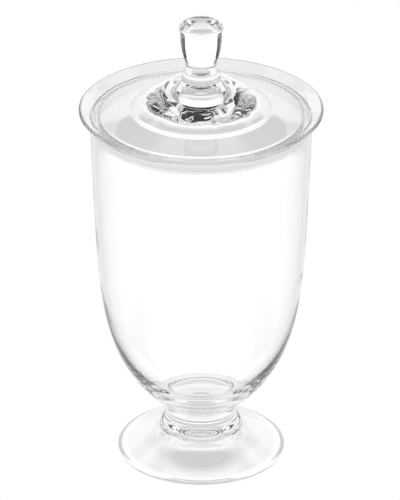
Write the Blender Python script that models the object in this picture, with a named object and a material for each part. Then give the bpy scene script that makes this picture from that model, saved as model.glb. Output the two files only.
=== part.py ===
"""Footed apothecary jar in clear glass, with a lid that lifts off.

Every piece is turned about the Z axis. The jar stands on z = 0: a hollow
foot, a ring knop and a flared bowl. The lid drops into the flare and is a
cover with a locating skirt, a collar ring and a solid knob. All lengths are
metres.
"""

import math

import bmesh
import bpy
from mathutils import Vector
from mathutils.geometry import interpolate_bezier

# ---------------------------------------------------------------- sizes

JOIN_GAP = 0.0003            # between two pieces that were joined hot
SEAT_GAP = 0.0003            # between the resting lid and the flare
TURNED_SIDES = 48            # facets round each turned piece
SHARP_ANGLE = math.radians(40)
MERGE_DISTANCE = 0.00001     # closes the turned outlines on the axis

FOOT_RADIUS = 0.0627
FOOT_HEIGHT = 0.0202         # floor to the seat of the knop
FOOT_SEAT_RADIUS = 0.0312
FOOT_EDGE_RADIUS = 0.0028    # rounding of the foot's rim
FOOT_REST_WIDTH = 0.0046     # flat ring that touches the table
FOOT_HOLLOW_DEPTH = 0.0125   # underside, at the centre
FOOT_CONE_ANGLE = 64.0       # degrees round the rim where the cone begins

KNOP_HEIGHT = 0.0131
KNOP_BULGE_RADIUS = 0.0304   # handle that swells the knop's side
KNOP_RING_RADIUS = 0.0022    # lower ring, where the knop spreads on the foot

WAIST_RADIUS = 0.0263        # bowl's narrow base
HEEL_RADIUS = 0.0386         # where the waist opens into the bowl
HEEL_RISE = 0.0163           # waist to heel
BOWL_RISE = 0.2212           # heel to the start of the flare
BOWL_RADIUS = 0.0814         # outside, at the start of the flare
BOWL_TAPER = math.radians(2.6)
WALL_STRAIGHTNESS = 0.572    # share of the rise that the side leaves straight
HEEL_FULLNESS = 0.273        # share of the rise that the heel leaves straight
HEEL_SLOPE = math.radians(45.8)
WALL = 0.0025                # side wall
HEEL_EXTRA = 0.0042          # added to the wall at the heel
HEEL_FADE = 0.028            # height over which that extra dies out
FLOOR_THICKNESS = 0.0110     # glass under the bowl's inside
FLOOR_FLATNESS = 0.45        # share of the floor's radius that stays level

FLARE_RISE = 0.0088
FLARE_SPREAD = 0.0080        # how far the lip stands out from the bowl
LIP_RADIUS = 0.0014          # rounding of the lip

SKIRT_CLEARANCE = 0.0015     # skirt to the bowl's inner wall
SKIRT_WALL = 0.0024
SKIRT_DROP = 0.0070          # skirt below the seat
SEAT_DROP = 0.0082           # lip centre to the foot of the lid's seat
SEAT_WIDTH = 0.0023          # height of the cone that rests on the flare
COVER_THICKNESS = 0.0030     # brim of the lid
COVER_EDGE_RADIUS = 0.0022
BRIM_SLOPE = math.radians(10.7)
DOME_RADIUS = 0.0500         # where the dome meets the brim
DOME_SLOPE = math.radians(35.3)
TIER_RADIUS = 0.0210         # shoulder on the dome
TIER_SLOPE = math.radians(14.0)
DOME_SOFTENING = 0.0045      # reach of the roundings at shoulder and dome foot
CROWN_THICKNESS = 0.0075     # glass under the collar

COLLAR_RADIUS = 0.0143
COLLAR_BASE_RADIUS = 0.0139  # where the collar stands on the lid
COLLAR_HEIGHT = 0.0073
NECK_RADIUS = 0.0115
NECK_SPREAD = 0.0008         # how far the neck opens where it meets the collar

KNOB_RADIUS = 0.0163         # ring under the cap
KNOB_BODY_RADIUS = 0.0152    # barrel below that ring
KNOB_WAIST_RISE = 0.0065     # collar to the narrowest point
KNOB_SIDE_RISE = 0.0236      # narrowest point to the top of the barrel
KNOB_SIDE_FULLNESS = 0.75    # share of that rise that the barrel keeps its width
KNOB_WAIST_REACH = 0.05      # share of that rise that the neck keeps its width
KNOB_RING_RISE = 0.0024      # top of the barrel to the ring
KNOB_CAP_RISE = 0.0068       # ring to the top

# How far the handles of the soft curves reach, as shares of their run.
WAIST_HANDLES = (0.5, 0.4)
KNOP_HANDLES = (0.35, 0.45)
HOLLOW_HANDLES = (0.72, 0.62, 0.40)
COLLAR_HANDLES = (0.4, 0.8)
COLLAR_SWELL = 0.3           # height of the collar's widest point, as a share

# ------------------------------------------------------ derived heights

KNOP_BASE_Z = FOOT_HEIGHT + JOIN_GAP
BOWL_BASE_Z = KNOP_BASE_Z + KNOP_HEIGHT + JOIN_GAP
HEEL_Z = BOWL_BASE_Z + HEEL_RISE
FLARE_Z = HEEL_Z + BOWL_RISE
LIP_Z = FLARE_Z + FLARE_RISE
MOUTH_RADIUS = BOWL_RADIUS - WALL
LIP_OUTER_RADIUS = BOWL_RADIUS + FLARE_SPREAD
LIP_INNER_RADIUS = LIP_OUTER_RADIUS - 2 * LIP_RADIUS
FLARE_LEAN = (LIP_INNER_RADIUS - MOUTH_RADIUS) / FLARE_RISE

SEAT_Z = LIP_Z - SEAT_DROP
SKIRT_RADIUS = MOUTH_RADIUS - SKIRT_CLEARANCE


# -------------------------------------------------------------- outlines
# An outline is a list of (radius, height) pairs. It runs down the outer side
# of its piece and starts and ends on the axis.

def arc(centre, radius, start, end, steps):
    """Points on a circle, from one angle to another in degrees."""
    angles = [math.radians(start + (end - start) * i / steps) for i in range(steps + 1)]
    return [(centre[0] + radius * math.cos(a), centre[1] + radius * math.sin(a)) for a in angles]


def curve(start, start_aim, end_aim, end, steps):
    """Points on one Bezier curve with its two handle points."""
    knots = [Vector((p[0], p[1], 0.0)) for p in (start, start_aim, end_aim, end)]
    return [(p.x, p.y) for p in interpolate_bezier(*knots, steps + 1)]


def aim(point, angle, length):
    """The point at a distance from another, along an angle in radians."""
    return (point[0] + length * math.cos(angle), point[1] + length * math.sin(angle))


def bowl_wall():
    """The bowl's outer side from the flare down to its heel."""
    top = (BOWL_RADIUS, FLARE_Z)
    heel = (HEEL_RADIUS, HEEL_Z)
    top_aim = aim(top, -math.pi / 2 - BOWL_TAPER, WALL_STRAIGHTNESS * BOWL_RISE)
    heel_aim = aim(heel, HEEL_SLOPE, HEEL_FULLNESS * BOWL_RISE)
    return curve(top, top_aim, heel_aim, heel, 13)


def inward(wall):
    """The bowl's inner side: each point of the wall moved square to it."""
    inner = []
    for i, (radius, height) in enumerate(wall):
        before = wall[max(i - 1, 0)]
        after = wall[min(i + 1, len(wall) - 1)]
        run = Vector((after[0] - before[0], after[1] - before[1])).normalized()
        rise = height - HEEL_Z
        thickness = WALL + HEEL_EXTRA * math.exp(-rise / HEEL_FADE)
        inner.append((radius + run.y * thickness, height - run.x * thickness))
    return inner


def bowl_outline():
    """Inner floor, inner wall, flare, lip, outer wall and waist."""
    wall = bowl_wall()
    inner = inward(wall)[1:]
    inner.reverse()
    floor_z = BOWL_BASE_Z + FLOOR_THICKNESS
    corner = inner[0]
    reach = FLOOR_FLATNESS * corner[0]
    floor = curve((0.0, floor_z), (reach, floor_z), aim(corner, HEEL_SLOPE + math.pi, reach), corner, 5)
    lip = arc((LIP_OUTER_RADIUS - LIP_RADIUS, LIP_Z), LIP_RADIUS, 180, -20, 6)
    waist = curve(
        wall[-1],
        aim(wall[-1], HEEL_SLOPE + math.pi, WAIST_HANDLES[0] * HEEL_RISE),
        (WAIST_RADIUS, BOWL_BASE_Z + WAIST_HANDLES[1] * HEEL_RISE),
        (WAIST_RADIUS, BOWL_BASE_Z),
        5,
    )
    mouth = [(MOUTH_RADIUS, FLARE_Z)]
    return floor[:-1] + inner + mouth + lip + wall + waist[1:] + [(0.0, BOWL_BASE_Z)]


def knop_outline():
    """A ring knop: waist, round middle and a small ring on the foot."""
    top_z = KNOP_BASE_Z + KNOP_HEIGHT
    ring = arc((FOOT_SEAT_RADIUS - KNOP_RING_RADIUS, KNOP_BASE_Z), KNOP_RING_RADIUS, 70, 0, 2)
    side = curve(
        (WAIST_RADIUS, top_z),
        (WAIST_RADIUS, top_z - KNOP_HANDLES[0] * KNOP_HEIGHT),
        (KNOP_BULGE_RADIUS, KNOP_BASE_Z + KNOP_HANDLES[1] * KNOP_HEIGHT),
        ring[0],
        6,
    )
    return [(0.0, top_z)] + side + ring[1:] + [(0.0, KNOP_BASE_Z)]


def foot_outline():
    """Seat, cone, rounded rim, flat resting ring and domed hollow."""
    seat = (FOOT_SEAT_RADIUS, FOOT_HEIGHT)
    rim_centre = (FOOT_RADIUS - FOOT_EDGE_RADIUS, FOOT_EDGE_RADIUS)
    rim = arc(rim_centre, FOOT_EDGE_RADIUS, FOOT_CONE_ANGLE, -90, 6)
    rest_inner = rim_centre[0] - FOOT_REST_WIDTH
    hollow = curve(
        (rest_inner, 0.0),
        (HOLLOW_HANDLES[0] * rest_inner, HOLLOW_HANDLES[1] * FOOT_HOLLOW_DEPTH),
        (HOLLOW_HANDLES[2] * rest_inner, FOOT_HOLLOW_DEPTH),
        (0.0, FOOT_HOLLOW_DEPTH),
        6,
    )
    return [(0.0, FOOT_HEIGHT), seat] + rim + hollow


def rim_centre():
    """Centre of the rounding at the lid's rim."""
    height = SEAT_Z + SEAT_WIDTH
    return (flare_radius(height) - COVER_EDGE_RADIUS, height)


def brim_height(radius):
    """The brim's upper side: a cone that runs on smoothly from the rim."""
    touch = aim(rim_centre(), math.pi / 2 - BRIM_SLOPE, COVER_EDGE_RADIUS)
    return touch[1] + math.tan(BRIM_SLOPE) * (touch[0] - radius)


def softened(corner, angle_in, angle_out, reach):
    """A corner rounded between two straight runs, met and left by angle."""
    start = aim(corner, angle_in, reach)
    end = aim(corner, angle_out, reach)
    return curve(start, corner, corner, end, 3)


def cover_top():
    """The lid's upper side, from the collar's seat out to its edge."""
    dome_foot = (DOME_RADIUS, brim_height(DOME_RADIUS))
    up_dome = math.pi - DOME_SLOPE
    up_tier = math.pi - TIER_SLOPE
    shoulder = aim(dome_foot, up_dome, (DOME_RADIUS - TIER_RADIUS) / math.cos(DOME_SLOPE))
    collar_seat = aim(shoulder, up_tier, (TIER_RADIUS - COLLAR_RADIUS) / math.cos(TIER_SLOPE))
    tier = softened(shoulder, up_tier, -DOME_SLOPE, DOME_SOFTENING)
    fillet = softened(dome_foot, up_dome, -BRIM_SLOPE, DOME_SOFTENING)
    edge = arc(rim_centre(), COVER_EDGE_RADIUS, 90 - math.degrees(BRIM_SLOPE), 0, 3)
    return [collar_seat] + tier + fillet + edge


def flare_radius(height):
    """The lid's radius at a height where it lies along the flare."""
    slack = SEAT_GAP * math.hypot(1.0, FLARE_LEAN)
    return MOUTH_RADIUS + FLARE_LEAN * (height - FLARE_Z) - slack


def cover_underside():
    """The lid's lower side inside the skirt, thicker towards the crown."""
    skirt_inner = SKIRT_RADIUS - SKIRT_WALL
    level = COVER_THICKNESS / math.cos(BRIM_SLOPE)
    root_z = brim_height(skirt_inner) - level
    root = softened((skirt_inner, root_z), -math.pi / 2, math.pi - BRIM_SLOPE, COVER_THICKNESS)
    under = []
    for radius, height in reversed(cover_top()):
        if radius < skirt_inner - COVER_THICKNESS:
            share = max(0.0, 1.0 - radius / DOME_RADIUS)
            under.append((radius, height - level - (CROWN_THICKNESS - COVER_THICKNESS) * share))
    return root + under + [(0.0, under[-1][1])]


def cover_outline():
    """Dome, brim, seat cone, skirt and the hollow under the dome."""
    top = cover_top()
    seat = [(flare_radius(SEAT_Z), SEAT_Z), (SKIRT_RADIUS, SEAT_Z)]
    tip_centre = (SKIRT_RADIUS - SKIRT_WALL / 2, SEAT_Z - SKIRT_DROP)
    tip = arc(tip_centre, SKIRT_WALL / 2, 0, -180, 4)
    return [(0.0, top[0][1])] + top + seat + tip + cover_underside()


def collar_outline():
    """A ring that swells from the lid and draws in to the knob's neck."""
    top_z = COLLAR_BASE_Z + COLLAR_HEIGHT
    side = curve(
        (NECK_RADIUS + NECK_SPREAD, top_z),
        (NECK_RADIUS + NECK_SPREAD, top_z - COLLAR_HANDLES[0] * COLLAR_HEIGHT),
        (COLLAR_RADIUS, COLLAR_BASE_Z + COLLAR_HANDLES[1] * COLLAR_HEIGHT),
        (COLLAR_RADIUS, COLLAR_BASE_Z + COLLAR_SWELL * COLLAR_HEIGHT),
        5,
    )
    return [(0.0, top_z)] + side + [(COLLAR_BASE_RADIUS, COLLAR_BASE_Z), (0.0, COLLAR_BASE_Z)]


def knob_outline():
    """Elliptical cap, ring, barrel side and neck of the solid knob."""
    waist_z = KNOB_BASE_Z + KNOB_WAIST_RISE
    body_z = waist_z + KNOB_SIDE_RISE
    ring_z = body_z + KNOB_RING_RISE
    quarter = arc((0.0, 0.0), 1.0, 90, 0, 6)
    cap = [(KNOB_RADIUS * across, ring_z + KNOB_CAP_RISE * up) for across, up in quarter]
    side = curve(
        (KNOB_BODY_RADIUS, body_z),
        (KNOB_BODY_RADIUS, body_z - KNOB_SIDE_FULLNESS * KNOB_SIDE_RISE),
        (NECK_RADIUS, waist_z + KNOB_WAIST_REACH * KNOB_SIDE_RISE),
        (NECK_RADIUS, waist_z),
        8,
    )
    neck = [(NECK_RADIUS + NECK_SPREAD, KNOB_BASE_Z), (0.0, KNOB_BASE_Z)]
    return cap + side + neck


COLLAR_BASE_Z = cover_top()[0][1] + JOIN_GAP
KNOB_BASE_Z = COLLAR_BASE_Z + COLLAR_HEIGHT + JOIN_GAP


# ---------------------------------------------------------------- pieces

def clear_scene():
    """Start from an empty scene."""
    for old in list(bpy.data.objects):
        bpy.data.objects.remove(old, do_unlink=True)


def glass(name, tint):
    """Clear polished glass with the faintest tint."""
    material = bpy.data.materials.new(name)
    material.use_nodes = True
    shader = material.node_tree.nodes["Principled BSDF"]
    shader.inputs["Base Color"].default_value = (*tint, 1.0)
    shader.inputs["Roughness"].default_value = 0.0
    shader.inputs["Metallic"].default_value = 0.0
    shader.inputs["IOR"].default_value = 1.5
    shader.inputs["Transmission Weight"].default_value = 1.0
    return material


def turned(name, outline, tint, parent=None):
    """A solid of revolution about Z, its origin on the axis at its base."""
    base_z = min(height for _, height in outline)
    shape = bmesh.new()
    points = [shape.verts.new((radius, 0.0, height - base_z)) for radius, height in outline]
    lines = [shape.edges.new(pair) for pair in zip(points, points[1:])]
    bmesh.ops.spin(
        shape,
        geom=points + lines,
        cent=(0.0, 0.0, 0.0),
        axis=(0.0, 0.0, 1.0),
        angle=2 * math.pi,
        steps=TURNED_SIDES,
        use_merge=True,
    )
    bmesh.ops.remove_doubles(shape, verts=shape.verts, dist=MERGE_DISTANCE)
    bmesh.ops.recalc_face_normals(shape, faces=shape.faces)
    mesh = bpy.data.meshes.new(name)
    shape.to_mesh(mesh)
    shape.free()
    mesh.shade_smooth()
    mesh.set_sharp_from_angle(angle=SHARP_ANGLE)
    mesh.materials.append(glass(name + "_glass", tint))
    piece = bpy.data.objects.new(name, mesh)
    bpy.context.scene.collection.objects.link(piece)
    piece.location.z = base_z
    piece.parent = parent
    return piece


def build():
    """The jar on the table and the lid, which rides on its own empty."""
    clear_scene()
    clear = (1.0, 1.0, 1.0)
    turned("foot", foot_outline(), clear)
    turned("stem_knop", knop_outline(), clear)
    turned("bowl", bowl_outline(), clear)
    lift = bpy.data.objects.new("lid_lift_axis", None)
    bpy.context.scene.collection.objects.link(lift)
    turned("lid_cover", cover_outline(), clear, lift)
    turned("lid_collar", collar_outline(), clear, lift)
    turned("lid_knob", knob_outline(), clear, lift)


build()
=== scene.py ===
"""Clear glass apothecary jar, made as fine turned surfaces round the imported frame.

Each piece is one profile carried round the Z axis, with the faint sway that
hand work leaves in glass. Pieces that were joined hot meet on a shared
plane, and light crosses that plane unbent. The file is laid out as an add-on
and run as a script. All lengths are metres.
"""

import math

import bpy
import numpy as np
from bpy.props import FloatProperty, FloatVectorProperty, IntProperty, PointerProperty
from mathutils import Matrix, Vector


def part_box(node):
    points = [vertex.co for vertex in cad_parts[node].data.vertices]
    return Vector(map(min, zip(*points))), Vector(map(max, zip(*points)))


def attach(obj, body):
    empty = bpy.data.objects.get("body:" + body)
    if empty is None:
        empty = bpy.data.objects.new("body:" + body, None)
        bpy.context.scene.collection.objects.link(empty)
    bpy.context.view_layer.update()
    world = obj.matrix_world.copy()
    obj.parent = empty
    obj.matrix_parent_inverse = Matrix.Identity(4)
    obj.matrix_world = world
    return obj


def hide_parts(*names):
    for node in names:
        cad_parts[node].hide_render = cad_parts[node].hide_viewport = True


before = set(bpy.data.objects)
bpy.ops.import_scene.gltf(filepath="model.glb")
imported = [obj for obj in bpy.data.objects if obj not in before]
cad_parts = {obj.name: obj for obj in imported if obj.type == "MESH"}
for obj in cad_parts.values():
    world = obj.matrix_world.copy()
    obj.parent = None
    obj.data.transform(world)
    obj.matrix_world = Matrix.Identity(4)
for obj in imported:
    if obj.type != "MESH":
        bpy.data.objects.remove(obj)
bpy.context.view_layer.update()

bl_info = {
    "name": "Apothecary Jar",
    "version": (1, 0, 0),
    "blender": (4, 5, 0),
    "location": "View3D > Sidebar > Glass",
    "description": "Builds a footed apothecary jar with a drop-in lid in clear glass",
    "category": "Add Mesh",
}


# ------------------------------------------------- places in the frame

def base(node):
    """Lowest height of a node."""
    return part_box(node)[0].z


def crest(node):
    """Highest height of a node."""
    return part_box(node)[1].z


def reach(node):
    """Largest radius of a node."""
    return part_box(node)[1].x


def join_height(lower, upper):
    """The plane, halfway over the gap, where two pieces were joined hot."""
    return (crest(lower) + base(upper)) / 2


FOOT_JOIN = join_height("foot", "stem_knop")
BOWL_JOIN = join_height("stem_knop", "bowl")
COLLAR_JOIN = join_height("lid_cover", "lid_collar")
KNOB_JOIN = join_height("lid_collar", "lid_knob")


# ---------------------------------------------------------- properties

def length(name, description, default):
    """A length in metres, shown in the scene's unit."""
    return FloatProperty(
        name=name, description=description, default=default, min=0.0, unit="LENGTH",
    )


def slope(name, description, degrees):
    """An angle, given in degrees and kept in radians."""
    return FloatProperty(
        name=name, description=description, default=math.radians(degrees), subtype="ANGLE",
    )


def share(name, description, default):
    """A share of full, or of white where it is a brightness."""
    return FloatProperty(name=name, description=description, default=default, min=0.0)


class JarShape(bpy.types.PropertyGroup):
    """Sizes of the foot, the knop and the bowl."""

    foot_radius: length("Foot radius", "Outer edge of the foot", reach("foot"))
    foot_edge: length("Foot edge rounding", "Radius of the foot's rim", 0.0028)
    foot_rest: length("Foot resting ring", "Width of the flat ring under the foot", 0.0046)
    foot_hollow: length("Foot hollow", "Depth of the hollow under the foot", 0.0120)
    pontil_radius: length("Pontil radius", "Ground dimple in the middle of the hollow", 0.0120)
    pontil_depth: length("Pontil depth", "Depth of that dimple", 0.0024)
    knop_base: length("Knop base radius", "Where the knop spreads on the foot", 0.0312)
    knop_ring: length("Knop ring", "Radius of the small ring on the foot", 0.0022)
    knop_radius: length("Knop radius", "Widest part of the knop", 0.0304)
    waist_radius: length("Waist radius", "Narrow neck between knop and bowl", 0.0263)
    heel_radius: length("Heel radius", "Where the waist opens into the bowl", 0.0386)
    heel_rise: length("Heel rise", "Waist to heel", 0.0163)
    heel_slope: slope("Heel slope", "Lean of the wall at the heel", 45.8)
    heel_fullness: length("Heel fullness", "How far the heel keeps its lean", 0.0605)
    bowl_radius: length("Bowl radius", "Outside, just under the flare", 0.0814)
    bowl_taper: slope("Bowl taper", "Lean of the wall at the flare", 2.6)
    bowl_straightness: length("Wall straightness", "How far the wall stays straight", 0.1265)
    flare_rise: length("Flare rise", "Wall to the middle of the lip", 0.0088)
    lip_rounding: length("Lip rounding", "Radius of the lip's edge", 0.0014)
    wall: length("Wall", "Thickness of the side wall", 0.0025)
    heel_extra: length("Heel extra", "Glass added to the wall at the heel", 0.0042)
    heel_fade: length("Heel fade", "Height over which that glass thins out", 0.028)
    floor_thickness: length("Bowl floor", "Glass under the inside of the bowl", 0.0110)


class LidShape(bpy.types.PropertyGroup):
    """Sizes of the cover, the collar and the knob."""

    rim_radius: length("Rim radius", "Outer edge of the lid", reach("lid_cover"))
    rim_rounding: length("Rim rounding", "Radius of the lid's edge", 0.0022)
    rim_rise: length("Rim rise", "Skirt's tip to the middle of the lid's edge", 0.0105)
    brim_slope: slope("Brim slope", "Lean of the brim", 10.7)
    dome_radius: length("Dome radius", "Where the dome meets the brim", 0.0500)
    dome_slope: slope("Dome slope", "Lean of the dome's side", 35.3)
    tier_radius: length("Tier radius", "Shoulder on the dome", 0.0210)
    softening: length("Softening", "Reach of the roundings on the dome", 0.0045)
    seat_radius: length("Seat radius", "Where the cover stops lying on the flare", 0.0790)
    seat_rise: length("Seat rise", "Skirt's tip to the cone that lies on the flare", 0.0082)
    skirt_radius: length("Skirt radius", "Outside of the locating skirt", 0.0774)
    skirt_wall: length("Skirt wall", "Thickness of the skirt", 0.0024)
    cover: length("Cover thickness", "Thickness of the brim", 0.0030)
    ceiling_radius: length("Ceiling radius", "Edge of the flat ceiling under the dome", 0.0380)
    ceiling_rise: length("Ceiling rise", "Brim's underside to that edge", 0.0068)
    ceiling_slope: slope("Ceiling slope", "Lean of the ceiling", 3.0)
    well_radius: length("Well radius", "Hollow in the middle of the ceiling", 0.0180)
    well_depth: length("Well depth", "Depth of that hollow", 0.0080)
    crumple: length("Crumple", "Depth of the tool marks under the dome", 0.0003)
    crumple_size: length("Crumple size", "Width of the largest of those marks", 0.0200)
    crumple_inner: length("Crumple inside", "Radius inside which there are none", 0.0160)
    crumple_outer: length("Crumple outside", "Radius outside which there are none", 0.0460)
    collar_radius: length("Collar radius", "Ring between lid and knob", reach("lid_collar"))
    neck_radius: length("Neck radius", "Narrowest part of the knob", 0.0115)
    neck_spread: length("Neck spread", "Opening of the neck at the collar", 0.0008)
    knob_radius: length("Knob radius", "Ring under the cap", reach("lid_knob"))
    knob_body: length("Knob body radius", "Barrel under that ring", 0.0152)
    knob_waist: length("Knob waist", "Collar to the narrowest point", 0.0065)
    knob_side: length("Knob side", "Narrowest point to the top of the barrel", 0.0236)
    knob_cap: length("Knob cap", "Ring to the top", 0.0068)


class GlassFinish(bpy.types.PropertyGroup):
    """Finish of the glass."""

    sides: IntProperty(name="Sides", description="Facets round a turned piece", default=288, min=24)
    tint: FloatVectorProperty(
        name="Tint", description="Colour of the glass", subtype="COLOR",
        size=3, default=(0.992, 0.996, 0.995), min=0.0, max=1.0,
    )
    bending: FloatProperty(
        name="Bending", description="Index of refraction", default=1.5, min=1.0, max=2.5,
    )
    ripple: length("Ripple", "Depth of the small ripples in the skin", 0.00001)
    sway: length("Sway", "Depth of the slow waves in the surface", 0.00006)
    sway_hold: length("Sway hold", "Height near a hot join where the waves die out", 0.004)


class StudioLook(bpy.types.PropertyGroup):
    """Floor, light and camera. The floor's brightnesses are painted light and painted shade in its
    glow.
    """

    floor_light: share("Floor light", "Brightness of the far floor", 1.15)
    floor_near: share("Floor near", "Brightness around the jar, seen by reflection", 0.85)
    floor_shade: share("Floor shade", "The same, close to the foot", 0.66)
    # The three cards below are painted shade: darker zones of the floor's glow beside, at the sides
    # of and behind the jar.
    grey_painted_shade: share("Grey cards", "Brightness of the cards beside the jar", 0.72)
    side_painted_shade: share("Side cards", "Brightness of the darker cards at the jar's sides", 0.20)
    back_painted_shade: share("Back card", "Brightness of the card behind, for bent light", 0.58)
    floor_dark: share("Floor dark", "Brightness of the dark sides", 0.01)
    floor_turned: share("Floor turned", "Brightness behind the jar, seen by reflection", 0.56)
    floor_deep: share("Floor deep", "Brightness seen through the lid's skirt", 0.80)
    seen_light: share("Seen light", "Brightness seen straight through the glass", 1.12)
    sweep_side: share("Sweep side", "Brightness of the far floor, seen past the lid", 0.92)
    sweep_near: share("Sweep near", "Where the far floor starts, seen through the lid", 0.74)
    sweep_far: share("Sweep far", "Further away, seen through the lid", 0.76)
    sweep_deep: share("Sweep deep", "The same, seen through lid and skirt", 0.84)
    # Painted light and painted shade: the floor's glow under the foot set to one brightness.
    painted_under_foot: share("Foot light", "Brightness of the floor under the foot", 0.95)
    lid_shadow: length("Lid shadow", "From the jar to the floor seen through the lid", 0.561)
    lid_disc: length("Lid disc", "Radius of that floor", 0.084)
    shade_radius: length("Shade radius", "Soft shade under the foot", 0.026)
    shade_offset: length("Shade offset", "Middle of that shade in front of the axis", 0.017)
    shade: share("Shade", "Brightness of that shade", 0.62)
    # Painted shadow line under the foot's rim, in the floor's glow.
    contact_shadow: share("Contact", "Brightness right under the foot's rim", 0.60)
    contact_shadow_inner: length("Contact inside", "Inner radius of that line", 0.0585)
    contact_shadow_outer: length("Contact outside", "Outer radius of that line", 0.0602)
    ambient: share("Ambient", "Light from everywhere else", 1.0)
    distance: length("Camera distance", "Camera to the middle of the jar", 3.7)
    aim_height: length("Aim height", "Height that the camera looks at", 0.1651)
    offset: length("Camera offset", "Camera to the left of the jar's axis", 0.0008)
    elevation: slope("Camera elevation", "Camera above the horizon", 26.514)
    lens: FloatProperty(
        name="Lens", description="Focal length", default=360.4, min=1.0, unit="CAMERA",
    )


# ------------------------------------------------------------- profiles
# A profile is an array of (radius, height) rows. It runs down the outer side
# of its piece and starts and ends on the axis. A curve leaves and meets its ends
# along an aim, whose reach is a length or a share of the size beside it.

SAME_PLACE = 1e-6


def arc(centre, radius, start, end, count=24):
    """Circle about a centre; the angle runs evenly from start to end, in degrees."""
    angle = np.radians(np.linspace(start, end, count))
    return np.asarray(centre) + radius * np.column_stack((np.cos(angle), np.sin(angle)))


def bezier(start, start_aim, end_aim, end, count=32):
    """Cubic Bezier curve: its four points, weighted by the Bernstein terms."""
    t = np.linspace(0.0, 1.0, count)[:, None]
    points = [np.asarray(p, float) for p in (start, start_aim, end_aim, end)]
    weights = ((1 - t) ** 3, 3 * t * (1 - t) ** 2, 3 * t ** 2 * (1 - t), t ** 3)
    return sum(w * p for w, p in zip(weights, points))


def line(start, end, count=8):
    """Straight run with even steps."""
    return np.linspace(start, end, count)


def aim(point, angle, distance):
    """The point at a distance from another, along an angle in radians."""
    return (point[0] + distance * math.cos(angle), point[1] + distance * math.sin(angle))


def softened(corner, angle_in, angle_out, distance, count=24):
    """Corner rounded by a curve that starts and ends at a distance from it."""
    first = aim(corner, angle_in, distance)
    last = aim(corner, angle_out, distance)
    return bezier(first, corner, corner, last, count)


def joined(*runs):
    """Runs set end to end, with points that repeat left out."""
    rows = np.vstack(runs)
    steps = np.linalg.norm(np.diff(rows, axis=0), axis=1)
    return rows[np.concatenate(([True], steps > SAME_PLACE))]


def offset_square(curve, distance):
    """A curve moved square to itself, to its left as it runs."""
    run = np.gradient(curve, axis=0)
    run /= np.linalg.norm(run, axis=1)[:, None]
    return curve + np.column_stack((run[:, 1], -run[:, 0])) * np.asarray(distance)[:, None]


def foot_profile(s):
    """Join plane, cone, rounded rim, resting ring, domed hollow and pontil dimple."""
    cone_end = 64  # degrees round the rim
    crown_lean = -0.08
    dimple_lean = math.radians(157)
    dimple_aim = 0.005
    rim_centre = (s.foot_radius - s.foot_edge, s.foot_edge)
    rim = arc(rim_centre, s.foot_edge, cone_end, -90, 40)
    seat = (s.knop_base, FOOT_JOIN)
    rest = rim_centre[0] - s.foot_rest
    pontil = (s.pontil_radius, s.foot_hollow)
    eave = (0.72 * rest, 0.60 * s.foot_hollow)
    hollow = bezier((rest, 0.0), eave, aim(pontil, crown_lean, 0.4 * rest), pontil, 40)
    top = (0.0, s.foot_hollow + s.pontil_depth)
    dimple = bezier(
        pontil, aim(pontil, dimple_lean, dimple_aim), (0.3 * s.pontil_radius, top[1]), top, 24,
    )
    return joined(
        [(0.0, FOOT_JOIN)], line(seat, rim[0], 24), rim, line(rim[-1], hollow[0], 6), hollow, dimple,
    )


def knop_profile(s):
    """Join plane, waist, round middle and a small ring on the foot."""
    rise = BOWL_JOIN - FOOT_JOIN
    ring = arc((s.knop_base - s.knop_ring, FOOT_JOIN), s.knop_ring, 70, 0, 12)
    side = bezier(
        (s.waist_radius, BOWL_JOIN),
        (s.waist_radius, BOWL_JOIN - 0.35 * rise),
        (s.knop_radius, FOOT_JOIN + 0.45 * rise),
        ring[0],
        40,
    )
    return joined([(0.0, BOWL_JOIN)], side, ring, [(0.0, FOOT_JOIN)])


def bowl_profile(s):
    """Inner floor, inner wall, flare, lip, outer wall and waist."""
    heel = (s.heel_radius, base("bowl") + s.heel_rise)
    lip_centre = (reach("bowl") - s.lip_rounding, crest("bowl") - s.lip_rounding)
    flare_z = lip_centre[1] - s.flare_rise
    top = (s.bowl_radius, flare_z)
    wall = bezier(
        top,
        aim(top, -math.pi / 2 - s.bowl_taper, s.bowl_straightness),
        aim(heel, s.heel_slope, s.heel_fullness),
        heel,
        72,
    )
    thickness = s.wall + s.heel_extra * np.exp(-(wall[:, 1] - heel[1]) / s.heel_fade)
    inner = offset_square(wall, thickness)[::-1]
    floor_z = base("bowl") + s.floor_thickness
    corner = inner[0]
    lean = 0.45 * corner[0]
    down_heel = s.heel_slope + math.pi
    floor = bezier((0.0, floor_z), (lean, floor_z), aim(corner, down_heel, lean), corner, 32)
    lip = arc(lip_centre, s.lip_rounding, 140, -40, 32)
    up_wall = math.pi / 2 - s.bowl_taper
    down_flare = math.radians(50) + math.pi
    flare_aim = 0.003
    inner_flare = bezier(
        inner[-1], aim(inner[-1], up_wall, flare_aim), aim(lip[0], down_flare, flare_aim), lip[0], 20,
    )
    outer_flare = bezier(
        lip[-1], aim(lip[-1], down_flare, flare_aim), aim(wall[0], up_wall, flare_aim), wall[0], 20,
    )
    waist = bezier(
        heel,
        aim(heel, down_heel, 0.5 * s.heel_rise),
        (s.waist_radius, BOWL_JOIN + 0.4 * s.heel_rise),
        (s.waist_radius, BOWL_JOIN),
        40,
    )
    return joined(floor, inner, inner_flare, lip, outer_flare, wall, waist, [(0.0, BOWL_JOIN)])


def rim_centre_of(s):
    """Middle of the rounding at the lid's edge."""
    return (s.rim_radius - s.rim_rounding, base("lid_cover") + s.rim_rise)


def brim_height(s, radius):
    """The brim's upper side: a cone that runs on smoothly from the rim."""
    touch = aim(rim_centre_of(s), math.pi / 2 - s.brim_slope, s.rim_rounding)
    return touch[1] + math.tan(s.brim_slope) * (touch[0] - radius)


def cover_profile(s):
    """Join plane, tier, dome, brim, rim, skirt and the hollow below."""
    return joined([(0.0, COLLAR_JOIN)], cover_top(s), *skirt(s), cover_ceiling(s))


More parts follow.
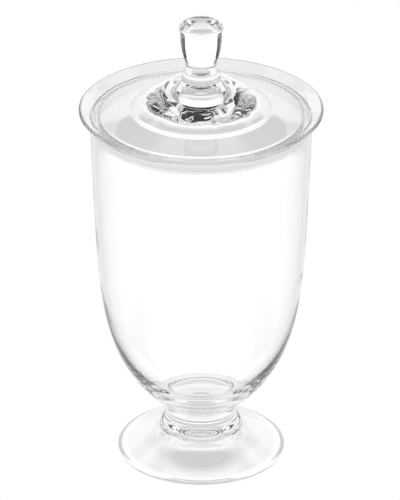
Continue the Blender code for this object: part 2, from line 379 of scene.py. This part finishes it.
def cover_top(s):
    """Upper side of the cover: tier, dome, brim and rim."""
    seat = (s.collar_radius, COLLAR_JOIN)
    dome_foot = (s.dome_radius, brim_height(s, s.dome_radius))
    up_dome = math.pi - s.dome_slope
    dome_side = (s.dome_radius - s.tier_radius) / math.cos(s.dome_slope)
    shoulder = aim(dome_foot, up_dome, dome_side)
    up_tier = math.atan2(seat[1] - shoulder[1], seat[0] - shoulder[0])
    tier = softened(shoulder, up_tier, -s.dome_slope, s.softening)
    fillet = softened(dome_foot, up_dome, -s.brim_slope, s.softening)
    rim = arc(rim_centre_of(s), s.rim_rounding, 90 - math.degrees(s.brim_slope), -10, 24)
    return joined(line(seat, tier[0]), tier, fillet, line(fillet[-1], rim[0], 16), rim)


def skirt_root(s):
    """Where the skirt's inner side would meet the brim's underside, were it not rounded."""
    inner = s.skirt_radius - s.skirt_wall
    return (inner, brim_height(s, inner) - s.cover)


def skirt(s):
    """The runs of the skirt: seat, outer side, round tip, inner side and its root under the brim."""
    step = 0.0004
    seat_z = base("lid_cover") + s.seat_rise
    half_wall = s.skirt_wall / 2
    tip = arc((s.skirt_radius - half_wall, base("lid_cover") + half_wall), half_wall, 0, -180, 20)
    root = softened(skirt_root(s), -math.pi / 2, math.pi - s.brim_slope, s.cover)
    return (
        [(s.seat_radius, seat_z), (s.skirt_radius, seat_z)],
        line((s.skirt_radius, seat_z - step), tip[0]), tip, line(tip[-1], root[0]), root,
    )


def cover_ceiling(s):
    """Underside of the cover: brim, arch, flat ceiling and the well in its middle."""
    past_dome = 0.003
    aim_far = 0.006
    root_end = aim(skirt_root(s), math.pi - s.brim_slope, s.cover)
    brim_radius = s.dome_radius + past_dome
    brim_end = (brim_radius, brim_height(s, brim_radius) - s.cover)
    edge = (s.ceiling_radius, brim_end[1] + s.ceiling_rise)
    arch = bezier(
        brim_end, aim(brim_end, math.pi - s.brim_slope, aim_far),
        aim(edge, -s.ceiling_slope, aim_far), edge, 40,
    )
    ceiling_run = (s.ceiling_radius - s.well_radius) / math.cos(s.ceiling_slope)
    well_edge = aim(edge, math.pi - s.ceiling_slope, ceiling_run)
    well_top = (0.0, well_edge[1] + s.well_depth)
    well = bezier(
        well_edge,
        (0.86 * s.well_radius, well_top[1]),
        (0.6 * s.well_radius, well_top[1]),
        well_top,
        40,
    )
    return joined(line(root_end, arch[0], 12), arch, line(edge, well_edge, 48), well)


def collar_profile(s):
    """Join plane, ring that swells from the cover, join plane."""
    rise = KNOB_JOIN - COLLAR_JOIN
    neck = s.neck_radius + s.neck_spread
    side = bezier(
        (neck, KNOB_JOIN),
        (neck, KNOB_JOIN - 0.4 * rise),
        (s.collar_radius, COLLAR_JOIN + 0.8 * rise),
        (s.collar_radius, COLLAR_JOIN + 0.3 * rise),
        32,
    )
    foot = line(side[-1], (s.collar_radius, COLLAR_JOIN))
    return joined([(0.0, KNOB_JOIN)], side, foot, [(0.0, COLLAR_JOIN)])


def knob_profile(s):
    """Domed cap, ring, barrel side, neck and join plane."""
    under_ring = 0.0012
    above_body = 0.0010
    waist_z = base("lid_knob") + s.knob_waist
    body_z = waist_z + s.knob_side
    ring_z = crest("lid_knob") - s.knob_cap
    cap = (0.0, ring_z) + arc((0.0, 0.0), 1.0, 90, 0, 48) * (s.knob_radius, s.knob_cap)
    shoulder = bezier(
        (s.knob_radius, ring_z), (s.knob_radius, ring_z - under_ring),
        (s.knob_body, body_z + above_body), (s.knob_body, body_z), 16,
    )
    side = bezier(
        (s.knob_body, body_z), (s.knob_body, body_z - 0.75 * s.knob_side),
        (s.neck_radius, waist_z + 0.05 * s.knob_side), (s.neck_radius, waist_z), 56,
    )
    neck_base = s.neck_radius + s.neck_spread
    neck = bezier(
        (s.neck_radius, waist_z), (s.neck_radius, waist_z - 0.5 * s.knob_waist),
        (neck_base, KNOB_JOIN + 0.3 * s.knob_waist), (neck_base, KNOB_JOIN), 16,
    )
    return joined(cap, shoulder, side, neck, [(0.0, KNOB_JOIN)])


# --------------------------------------------------------- turned meshes

# Slow waves: (waves round the piece, radians per metre along it, times the phase, weight).
WAVES = ((2, 90.0, 1, 1.0), (3, -140.0, 2, 1.0), (5, 230.0, 3, 0.6))
SMOOTH_BELOW = math.radians(35)


def slow_waves(angle, run, depth, phase):
    """Sway of hand work: a weighted mean of sines of the angle and the run, from minus depth to 0."""
    total = sum(weight for *_, weight in WAVES)
    wave = sum(w * np.sin(n * angle + k * run + p * phase) for n, k, p, w in WAVES)
    return depth * (wave / total - 1.0) / 2


def bump_window(value, first, full, ease, last):
    """Weight that rises from first to full and falls from ease to last, both by a cosine."""
    rise = np.clip((value - first) / (full - first), 0.0, 1.0)
    fall = np.clip((last - value) / (last - ease), 0.0, 1.0)
    return (1 - np.cos(math.pi * np.minimum(rise, fall))) / 2


def crumple_depths(s, profile):
    """Depth of the tool marks at each row: only on the underside, past the skirt's tip."""
    fade_in = 0.006
    fade_out = 0.008
    under = np.arange(len(profile)) > np.argmin(profile[:, 1])
    first = s.crumple_inner
    last = s.crumple_outer
    window = bump_window(profile[:, 0], first, first + fade_in, last - fade_out, last)
    return s.crumple * under * window


def tool_marks(x, y, size):
    """Folds left by the shaping tool: plane waves, each turned and bent by the one before it."""
    directions = 9
    golden_turn = 2.4
    growth = 0.13
    shift = 1.7
    bending = 1.1
    usual_peak = 4.0
    fold = np.zeros_like(x)
    bend = np.zeros_like(x)
    for step in range(directions):
        turn = golden_turn * step
        across = (x * math.cos(turn) + y * math.sin(turn)) / (size * (1.0 + growth * step))
        bend = np.sin(2 * math.pi * across + shift * step + bending * bend)
        fold = fold + bend
    return fold / usual_peak


def near_plane(height, planes):
    """Whether a height is that of one of the planes."""
    return any(abs(height - plane) < SAME_PLACE for plane in planes)


def turned(name, profile, join_planes, finish, phase, marks=None):
    """Carries a profile round Z as (r cos a, r sin a, z), with r drawn in by the slow waves.

    The waves die out near a join. The profile's two ends on the axis are one vertex each, and
    the fans round them that lie in a join plane take the second material slot. marks adds
    depths to the heights: it holds a depth for each row and the size of the tool marks.
    """
    sides = finish.sides
    angle = np.linspace(0.0, 2 * math.pi, sides, endpoint=False)[None, :]
    inner = profile[1:-1]
    steps = np.linalg.norm(np.diff(inner, axis=0), axis=1)
    run = np.concatenate(([0.0], np.cumsum(steps)))[:, None]
    near_join = np.min([np.abs(inner[:, 1] - z) for z in join_planes], axis=0)
    hold = np.clip(near_join / finish.sway_hold, 0.0, 1.0)[:, None]
    radius = inner[:, 0][:, None] + hold * slow_waves(angle, run, finish.sway, phase)
    height = np.repeat(inner[:, 1][:, None], sides, axis=1)
    x = radius * np.cos(angle)
    y = radius * np.sin(angle)
    if marks is not None:
        depth, size = marks
        height = height + depth[1:-1][:, None] * tool_marks(x, y, size)
    grid = np.stack((x, y, height), axis=-1).reshape(-1, 3)
    poles = [(0.0, 0.0, profile[0][1]), (0.0, 0.0, profile[-1][1])]
    rows = len(inner)
    ring = np.arange(sides)
    ahead = (ring + 1) % sides
    start = (np.arange(rows - 1) * sides)[:, None]
    corners = (start + ring, start + sides + ring, start + sides + ahead, start + ahead)
    quads = np.stack(corners, axis=-1).reshape(-1, 4)
    last = (rows - 1) * sides
    first_pole = np.full(sides, rows * sides)
    top_fan = np.column_stack((first_pole, ring, ahead))
    low_fan = np.column_stack((last + ring, first_pole + 1, last + ahead))
    mesh = bpy.data.meshes.new(name)
    faces = quads.tolist() + top_fan.tolist() + low_fan.tolist()
    mesh.from_pydata(np.vstack((grid, poles)).tolist(), [], faces)
    mesh.shade_smooth()
    mesh.set_sharp_from_angle(angle=SMOOTH_BELOW)
    ends = np.array([near_plane(profile[end][1], join_planes) for end in (0, -1)])
    slots = np.concatenate((np.zeros(len(quads)), np.repeat(ends, sides))).astype(np.int32)
    mesh.polygons.foreach_set("material_index", slots)
    mesh.update()
    piece = bpy.data.objects.new(name, mesh)
    bpy.context.scene.collection.objects.link(piece)
    return piece


# ------------------------------------------------------------- materials

def new_group(name, inputs, outputs):
    """An empty shader node group. inputs are (name, socket type, default), outputs (name, type)."""
    group = bpy.data.node_groups.new(name, "ShaderNodeTree")
    for socket, kind, default in inputs:
        made = group.interface.new_socket(socket, in_out="INPUT", socket_type=kind)
        made.default_value = default
    for socket, kind in outputs:
        group.interface.new_socket(socket, in_out="OUTPUT", socket_type=kind)
    group.nodes.new("NodeGroupInput").name = "inputs"
    group.nodes.new("NodeGroupOutput").name = "outputs"
    return group


def add(tree, kind, values=None, **settings):
    """A node with its settings, and its inputs' values or links by socket name or number."""
    node = tree.nodes.new(kind)
    for key, value in settings.items():
        setattr(node, key, value)
    for key, value in (values or {}).items():
        if isinstance(value, bpy.types.NodeSocket):
            tree.links.new(value, node.inputs[key])
        else:
            node.inputs[key].default_value = value
    return node


def maths(tree, operation, *values):
    """The result of one Math node."""
    return add(tree, "ShaderNodeMath", dict(enumerate(values)), operation=operation).outputs[0]


def smooth_step(tree, value, low, high):
    """0 below low, 1 above high and a smooth rise between."""
    node = add(
        tree, "ShaderNodeMapRange", {"Value": value, "From Min": low, "From Max": high},
        interpolation_type="SMOOTHSTEP",
    )
    return node.outputs["Result"]


def noise(tree, place, scale, detail):
    """Soft noise at a place."""
    values = {"Vector": place, "Scale": scale, "Detail": detail}
    return add(tree, "ShaderNodeTexNoise", values).outputs["Fac"]


def hand_glass_group():
    """Hand-worked glass: a tint with slow streaks, faint patches of haze and a rippled skin.

    It is built once and then found by its name. The scales count grains to the metre.
    """
    if "hand_glass" in bpy.data.node_groups:
        return bpy.data.node_groups["hand_glass"]
    streak_scale = 22.0
    haze_scale = 60.0
    haze_starts, haze_full = 0.50, 0.75
    sockets = [
        ("Tint", "NodeSocketColor", (1.0, 1.0, 1.0, 1.0)),
        ("Streaks", "NodeSocketFloat", 0.01),
        ("Haze", "NodeSocketFloat", 0.02),
        ("Ripple Size", "NodeSocketFloat", 0.02),
    ]
    results = [
        ("Color", "NodeSocketColor"),
        ("Roughness", "NodeSocketFloat"),
        ("Height", "NodeSocketFloat"),
    ]
    group = new_group("hand_glass", sockets, results)
    given = group.nodes["inputs"].outputs
    out = group.nodes["outputs"].inputs
    place = add(group, "ShaderNodeTexCoord").outputs["Object"]
    streaks = noise(group, place, streak_scale, 2.0)
    fade = maths(group, "SUBTRACT", 1.0, maths(group, "MULTIPLY", streaks, given["Streaks"]))
    tinted = add(group, "ShaderNodeVectorMath", {0: given["Tint"], "Scale": fade}, operation="SCALE")
    group.links.new(tinted.outputs["Vector"], out["Color"])
    cloud = noise(group, place, haze_scale, 3.0)
    patches = smooth_step(group, cloud, haze_starts, haze_full)
    group.links.new(maths(group, "MULTIPLY", patches, given["Haze"]), out["Roughness"])
    ripple_scale = maths(group, "DIVIDE", 1.0, given["Ripple Size"])
    group.links.new(noise(group, place, ripple_scale, 1.0), out["Height"])
    return group


def clear_glass(name, finish, streaks, haze, ripple_size):
    """Clear glass. Streaks darken the tint, haze roughens patches, and ripple_size is in metres."""
    material = bpy.data.materials.new(name)
    material.use_nodes = True
    tree = material.node_tree
    shader = tree.nodes["Principled BSDF"]
    shader.inputs["Metallic"].default_value = 0.0
    shader.inputs["IOR"].default_value = finish.bending
    shader.inputs["Transmission Weight"].default_value = 1.0
    effect = tree.nodes.new("ShaderNodeGroup")
    effect.node_tree = hand_glass_group()
    effect.inputs["Tint"].default_value = (*finish.tint, 1.0)
    effect.inputs["Streaks"].default_value = streaks
    effect.inputs["Haze"].default_value = haze
    effect.inputs["Ripple Size"].default_value = ripple_size
    skin = {"Height": effect.outputs["Height"], "Distance": finish.ripple}
    bump = add(tree, "ShaderNodeBump", skin)
    tree.links.new(effect.outputs["Color"], shader.inputs["Base Color"])
    tree.links.new(effect.outputs["Roughness"], shader.inputs["Roughness"])
    tree.links.new(bump.outputs["Normal"], shader.inputs["Normal"])
    return material


def hot_join():
    """The plane inside two pieces joined hot: light crosses it unbent."""
    material = bpy.data.materials.get("hot_join")
    if material is None:
        material = bpy.data.materials.new("hot_join")
        material.use_nodes = True
        shader = material.node_tree.nodes["Principled BSDF"]
        shader.inputs["Alpha"].default_value = 0.0
    return material


# ------------------------------------------------------------- operators

def place_piece(piece, material, body, node):
    """Gives a piece its glass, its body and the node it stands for."""
    piece.data.materials.append(material)
    piece.data.materials.append(hot_join())
    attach(piece, body)
    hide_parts(node)


class JAR_OT_foot(bpy.types.Operator):
    """Turn the foot with its hollow underside"""

    bl_idname = "jar.foot"
    bl_label = "Foot"

    def execute(self, context):
        scene = context.scene
        finish = scene.glass_finish
        glass = clear_glass("foot_clear", finish, streaks=0.012, haze=0.025, ripple_size=0.012)
        profile = foot_profile(scene.jar_shape)
        piece = turned("foot_glass", profile, [FOOT_JOIN], finish, phase=0.4)
        place_piece(piece, glass, "jar", "foot")
        return {"FINISHED"}


class JAR_OT_knop(bpy.types.Operator):
    """Turn the knop between foot and bowl"""

    bl_idname = "jar.knop"
    bl_label = "Knop"

    def execute(self, context):
        scene = context.scene
        finish = scene.glass_finish
        glass = clear_glass("knop_clear", finish, streaks=0.014, haze=0.015, ripple_size=0.010)
        profile = knop_profile(scene.jar_shape)
        piece = turned("knop_glass", profile, [FOOT_JOIN, BOWL_JOIN], finish, phase=1.3)
        place_piece(piece, glass, "jar", "stem_knop")
        return {"FINISHED"}


class JAR_OT_bowl(bpy.types.Operator):
    """Turn the flared bowl"""

    bl_idname = "jar.bowl"
    bl_label = "Bowl"

    def execute(self, context):
        scene = context.scene
        finish = scene.glass_finish
        glass = clear_glass("bowl_clear", finish, streaks=0.010, haze=0.020, ripple_size=0.030)
        profile = bowl_profile(scene.jar_shape)
        piece = turned("bowl_glass_wall", profile, [BOWL_JOIN], finish, phase=2.1)
        place_piece(piece, glass, "jar", "bowl")
        return {"FINISHED"}


class JAR_OT_lid_cover(bpy.types.Operator):
    """Turn the lid's cover with its locating skirt"""

    bl_idname = "jar.lid_cover"
    bl_label = "Lid cover"

    def execute(self, context):
        scene = context.scene
        finish = scene.glass_finish
        glass = clear_glass("cover_clear", finish, streaks=0.010, haze=0.020, ripple_size=0.018)
        profile = cover_profile(scene.lid_shape)
        marks = crumple_depths(scene.lid_shape, profile), scene.lid_shape.crumple_size
        piece = turned("cover_glass", profile, [COLLAR_JOIN], finish, phase=2.9, marks=marks)
        place_piece(piece, glass, "lid", "lid_cover")
        return {"FINISHED"}


class JAR_OT_lid_collar(bpy.types.Operator):
    """Turn the ring between cover and knob"""

    bl_idname = "jar.lid_collar"
    bl_label = "Lid collar"

    def execute(self, context):
        scene = context.scene
        finish = scene.glass_finish
        glass = clear_glass("collar_clear", finish, streaks=0.012, haze=0.015, ripple_size=0.008)
        profile = collar_profile(scene.lid_shape)
        piece = turned("collar_glass_ring", profile, [COLLAR_JOIN, KNOB_JOIN], finish, phase=3.7)
        place_piece(piece, glass, "lid", "lid_collar")
        return {"FINISHED"}


class JAR_OT_lid_knob(bpy.types.Operator):
    """Turn the solid knob"""

    bl_idname = "jar.lid_knob"
    bl_label = "Lid knob"

    def execute(self, context):
        scene = context.scene
        finish = scene.glass_finish
        glass = clear_glass("knob_clear", finish, streaks=0.014, haze=0.012, ripple_size=0.012)
        profile = knob_profile(scene.lid_shape)
        piece = turned("knob_glass_solid", profile, [KNOB_JOIN], finish, phase=4.6)
        place_piece(piece, glass, "lid", "lid_knob")
        return {"FINISHED"}


# ----------------------------------------------------------------- stage
# The room and the floor are the only lights, and the floor's glow is painted light and
# painted shade. Their brightness depends on the direction and, in places, on the kind of
# light, so that dark panels of the room and painted dark zones of the floor show at the
# glass's edges and not through its middle. The kinds, counted on the way from the camera
# (one surface is crossed on entering glass and one on leaving it):
#   any          all light
#   straight     met no mirror
#   below_lid    straight, through 3 to 5 surfaces, within the lid's disc
#   through_lid  straight, through 6 surfaces or more
#   bent         all but what is straight and came through 3 surfaces or more
#   thrown_back  met a mirror and crossed 2 surfaces at most
#   turned       met a mirror and crossed more surfaces
# Azimuth is 0 behind the jar and 180 at the camera, and a panel or zone stands
# on both sides. A later row covers an earlier one.

# (kind of light, first azimuth, last azimuth, lowest, highest, edge, brightness), in degrees.
LIGHT_PANELS = [
    ("any", 46, 100, -9, 18, 3, 0.01),
    ("any", 38, 100, 28, 42, 4, 0.10),
    ("any", 96, 180, 24, 50, 5, 0.03),
    ("any", 0, 20, 30, 42, 3, 0.30),
    ("thrown_back", 0, 180, 54, 90, 6, 0.03),
]

# The zones are painted light and painted shade in the floor's glow.
# (kind of light, first azimuth, last azimuth, edge, inner radius, outer radius, edge, brightness),
# in degrees and metres, with the brightness as a name from StudioLook.
FAR = 99.0
FLOOR_ZONES = [
    ("any", 0, 180, 1, 0.0, 0.060, 0.080, "floor_shade"),
    ("any", 0, 12, 5, 0.200, 0.460, 0.020, "floor_shade"),
    # Painted shade beside the jar.
    ("any", 42, 78, 6, 0.120, 0.620, 0.020, "grey_painted_shade"),
    ("straight", 0, 180, 1, 0.0, FAR, 1.0, "seen_light"),
    # Painted shade at the jar's sides.
    ("bent", 95, 130, 6, 0.220, 0.340, 0.020, "side_painted_shade"),
    ("any", 0, 180, 1, 0.486, FAR, 0.010, "floor_light"),
    ("straight", 0, 180, 1, 0.486, FAR, 0.010, "seen_light"),
    ("straight", 0, 25, 15, 0.530, FAR, 0.013, "sweep_side"),
    ("below_lid", 0, 180, 1, 0.486, FAR, 0.010, "sweep_near"),
    ("below_lid", 0, 180, 1, 0.535, FAR, 0.010, "sweep_far"),
    ("any", 0, 180, 1, 0.900, FAR, 0.100, "floor_light"),
    ("thrown_back", 0, 180, 1, 0.0, 1.000, 0.200, "floor_near"),
    ("thrown_back", 0, 14, 6, 0.0, 1.000, 0.200, "floor_turned"),
    ("turned", 0, 180, 1, 0.120, 0.800, 0.020, "floor_turned"),
    ("bent", 42, 100, 3, 0.952, FAR, 0.102, "floor_dark"),
    # Painted shade behind the jar.
    ("bent", 0, 14, 4, 0.180, 0.420, 0.020, "back_painted_shade"),
    ("through_lid", 0, 25, 15, 0.120, 0.440, 0.010, "floor_turned"),
    ("through_lid", 0, 25, 15, 0.440, 0.510, 0.010, "floor_deep"),
    ("through_lid", 0, 25, 15, 0.510, 0.800, 0.020, "sweep_deep"),
    # Painted light and shade under the foot.
    ("any", 0, 180, 1, 0.0, 0.052, 0.004, "painted_under_foot"),
]

# Limits for the surfaces crossed and the mirrors met, each between two whole counts.
FROM_NONE = -0.5
OVER_TWO = 2.5
OVER_FIVE = 5.5
ONE_MIRROR = 0.5

FLOOR_HALF = 40.0
DISC_EDGE = 0.005
CONTACT_SHADOW_EDGE = 0.0015
SHADE_SPREAD = (0.6, 1.4)
LIGHT_BOUNCES = 128


def distance_to(tree, point, centre):
    """Distance from a point to a fixed centre."""
    gap = add(tree, "ShaderNodeVectorMath", {0: point, 1: centre}, operation="DISTANCE")
    return gap.outputs["Value"]


def between(tree, value, first, last, edge):
    """Mask that is 1 between two values and fades out over an edge beyond them."""
    rise = smooth_step(tree, value, first - edge, first)
    fall = smooth_step(tree, value, last + edge, last)
    return maths(tree, "MULTIPLY", rise, fall)


def blended(tree, mask, under, over):
    """One brightness laid over another through a mask."""
    values = {"Factor": mask, "A": under, "B": over}
    return add(tree, "ShaderNodeMix", values, data_type="FLOAT").outputs["Result"]


def azimuth_of(tree, place):
    """Degrees away from the far side of the jar, the same to the left and to the right."""
    angle = maths(tree, "ARCTAN2", place["X"], place["Y"])
    return maths(tree, "ABSOLUTE", maths(tree, "DEGREES", angle))


def passed(tree, fewest, most):
    """Mask for light that met no mirror and crossed a number of glass surfaces."""
    path = add(tree, "ShaderNodeLightPath").outputs
    surfaces = path["Transmission Depth"]
    enough = maths(tree, "GREATER_THAN", surfaces, fewest)
    few = maths(tree, "LESS_THAN", surfaces, most)
    straight = maths(tree, "LESS_THAN", path["Glossy Depth"], ONE_MIRROR)
    return maths(tree, "MULTIPLY", maths(tree, "MULTIPLY", enough, few), straight)


def thrown_back(tree):
    """Mask for light that a mirror inside one piece of glass turned round."""
    path = add(tree, "ShaderNodeLightPath").outputs
    mirrored = maths(tree, "GREATER_THAN", path["Glossy Depth"], ONE_MIRROR)
    few = maths(tree, "LESS_THAN", path["Transmission Depth"], OVER_TWO)
    return maths(tree, "MULTIPLY", mirrored, few)


def light_tent(studio):
    """World of soft panels in a white room, plain white to the camera."""
    world = bpy.data.worlds.new("light_tent")
    bpy.context.scene.world = world
    world.use_nodes = True
    tree = world.node_tree
    tree.nodes.clear()
    direction = add(tree, "ShaderNodeTexCoord").outputs["Generated"]
    towards = add(tree, "ShaderNodeSeparateXYZ", {0: direction}).outputs
    azimuth = azimuth_of(tree, towards)
    elevation = maths(tree, "DEGREES", maths(tree, "ARCSINE", towards["Z"]))
    kinds = {"any": 1.0, "thrown_back": thrown_back(tree)}
    brightness = studio.ambient
    for kind, first, last, lowest, highest, edge, light in LIGHT_PANELS:
        across = between(tree, azimuth, first, last, edge)
        panel = maths(tree, "MULTIPLY", across, between(tree, elevation, lowest, highest, edge))
        brightness = blended(tree, maths(tree, "MULTIPLY", panel, kinds[kind]), brightness, light)
    camera_ray = add(tree, "ShaderNodeLightPath").outputs["Is Camera Ray"]
    shown = blended(tree, camera_ray, brightness, 1.0)
    background = add(tree, "ShaderNodeBackground", {"Color": shown})
    add(tree, "ShaderNodeOutputWorld", {"Surface": background.outputs[0]})


def kinds_of_light(tree, point, studio):
    """Masks for the kinds of light on the floor, by name."""
    straight = passed(tree, FROM_NONE, FAR)
    back = thrown_back(tree)
    walls = passed(tree, OVER_TWO, OVER_FIVE)
    from_lid = distance_to(tree, point, (0.0, studio.lid_shadow, 0.0))
    lid_disc = smooth_step(tree, from_lid, studio.lid_disc + DISC_EDGE, studio.lid_disc)
    return {
        "any": 1.0,
        "straight": straight,
        "bent": maths(tree, "SUBTRACT", 1.0, passed(tree, OVER_TWO, FAR)),
        "below_lid": maths(tree, "MULTIPLY", walls, lid_disc),
        "through_lid": passed(tree, OVER_FIVE, FAR),
        "thrown_back": back,
        "turned": maths(tree, "SUBTRACT", maths(tree, "SUBTRACT", 1.0, straight), back),
    }


def painted_floor_glow(tree, studio):
    """The floor's painted glow: the zones of painted light and painted shade in order, then the
    painted soft shade under the foot and the painted shadow line at its rim.
    """
    point = add(tree, "ShaderNodeTexCoord").outputs["Object"]
    away = distance_to(tree, point, (0.0, 0.0, 0.0))
    azimuth = azimuth_of(tree, add(tree, "ShaderNodeSeparateXYZ", {0: point}).outputs)
    kinds = kinds_of_light(tree, point, studio)
    lit = studio.floor_near
    for kind, first, last, edge, inner, outer, fade, brightness in FLOOR_ZONES:
        across = between(tree, azimuth, first, last, edge)
        zone = maths(tree, "MULTIPLY", across, between(tree, away, inner, outer, fade))
        mask = maths(tree, "MULTIPLY", zone, kinds[kind])
        lit = blended(tree, mask, lit, getattr(studio, brightness))
    from_shade = distance_to(tree, point, (0.0, -studio.shade_offset, 0.0))
    full, none = (studio.shade_radius * part for part in SHADE_SPREAD)
    lit = blended(tree, smooth_step(tree, from_shade, none, full), lit, studio.shade)
    # Painted shadow line under the foot's rim.
    rim = between(tree, away, studio.contact_shadow_inner, studio.contact_shadow_outer, CONTACT_SHADOW_EDGE)
    return blended(tree, rim, lit, studio.contact_shadow)


def painted_light_floor(studio):
    """A wide floor that glows as a lit table does: its glow is painted light and painted shade, plain
    white to the camera.
    """
    half = FLOOR_HALF
    corners = [(-half, -half, 0.0), (half, -half, 0.0), (half, half, 0.0), (-half, half, 0.0)]
    mesh = bpy.data.meshes.new("painted_light_floor")
    mesh.from_pydata(corners, [], [(0, 1, 2, 3)])
    material = bpy.data.materials.new("painted_light_floor")
    material.use_nodes = True
    tree = material.node_tree
    shader = tree.nodes["Principled BSDF"]
    shader.inputs["Base Color"].default_value = (0.0, 0.0, 0.0, 1.0)
    shader.inputs["Specular IOR Level"].default_value = 0.0
    shader.inputs["Emission Color"].default_value = (1.0, 1.0, 1.0, 1.0)
    # The painted light and painted shade reach every ray but the camera's own, which sees plain
    # white.
    camera_ray = add(tree, "ShaderNodeLightPath").outputs["Is Camera Ray"]
    shown = blended(tree, camera_ray, painted_floor_glow(tree, studio), 1.0)
    tree.links.new(shown, shader.inputs["Emission Strength"])
    mesh.materials.append(material)
    floor = bpy.data.objects.new("painted_light_floor", mesh)
    bpy.context.scene.collection.objects.link(floor)


class JAR_OT_stage(bpy.types.Operator):
    """Set up the floor, the light tent and the camera"""

    bl_idname = "jar.stage"
    bl_label = "Stage"

    def execute(self, context):
        scene = context.scene
        studio = scene.studio_look
        painted_light_floor(studio)
        light_tent(studio)
        camera = bpy.data.objects.new("camera", bpy.data.cameras.new("camera"))
        scene.collection.objects.link(camera)
        camera.location = (
            -studio.offset,
            -studio.distance * math.cos(studio.elevation),
            studio.aim_height + studio.distance * math.sin(studio.elevation),
        )
        camera.rotation_euler = (math.pi / 2 - studio.elevation, 0.0, 0.0)
        camera.data.sensor_fit = "VERTICAL"
        camera.data.sensor_height = 36.0
        camera.data.lens = studio.lens
        camera.data.clip_end = 100.0
        scene.camera = camera
        scene.view_settings.view_transform = "Standard"
        scene.cycles.max_bounces = LIGHT_BOUNCES
        scene.cycles.transmission_bounces = LIGHT_BOUNCES
        scene.cycles.glossy_bounces = LIGHT_BOUNCES
        scene.cycles.transparent_max_bounces = LIGHT_BOUNCES
        return {"FINISHED"}


# --------------------------------------------------------------- add-on

STEPS = ("foot", "knop", "bowl", "lid_cover", "lid_collar", "lid_knob", "stage")
SETTINGS = {
    "jar_shape": JarShape,
    "lid_shape": LidShape,
    "glass_finish": GlassFinish,
    "studio_look": StudioLook,
}


class JAR_PT_sidebar(bpy.types.Panel):
    """Sizes, finish and buttons of the jar"""

    bl_idname = "JAR_PT_sidebar"
    bl_label = "Apothecary Jar"
    bl_space_type = "VIEW_3D"
    bl_region_type = "UI"
    bl_category = "Glass"

    def draw(self, context):
        for step in STEPS:
            self.layout.operator("jar." + step)
        for owner in SETTINGS:
            group = getattr(context.scene, owner)
            box = self.layout.box()
            for key in group.bl_rna.properties.keys():
                if key not in {"rna_type", "name"}:
                    box.prop(group, key)


CLASSES = (
    *SETTINGS.values(),
    JAR_OT_foot, JAR_OT_knop, JAR_OT_bowl,
    JAR_OT_lid_cover, JAR_OT_lid_collar, JAR_OT_lid_knob,
    JAR_OT_stage,
    JAR_PT_sidebar,
)


def register():
    """Adds the classes and the scene's properties."""
    for item in CLASSES:
        bpy.utils.register_class(item)
    for owner, group in SETTINGS.items():
        setattr(bpy.types.Scene, owner, PointerProperty(type=group))


def unregister():
    """Takes them away again."""
    for owner in SETTINGS:
        delattr(bpy.types.Scene, owner)
    for item in reversed(CLASSES):
        bpy.utils.unregister_class(item)


def main():
    """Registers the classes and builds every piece."""
    register()
    for step in STEPS:
        getattr(bpy.ops.jar, step)()


if __name__ == "__main__":
    main()
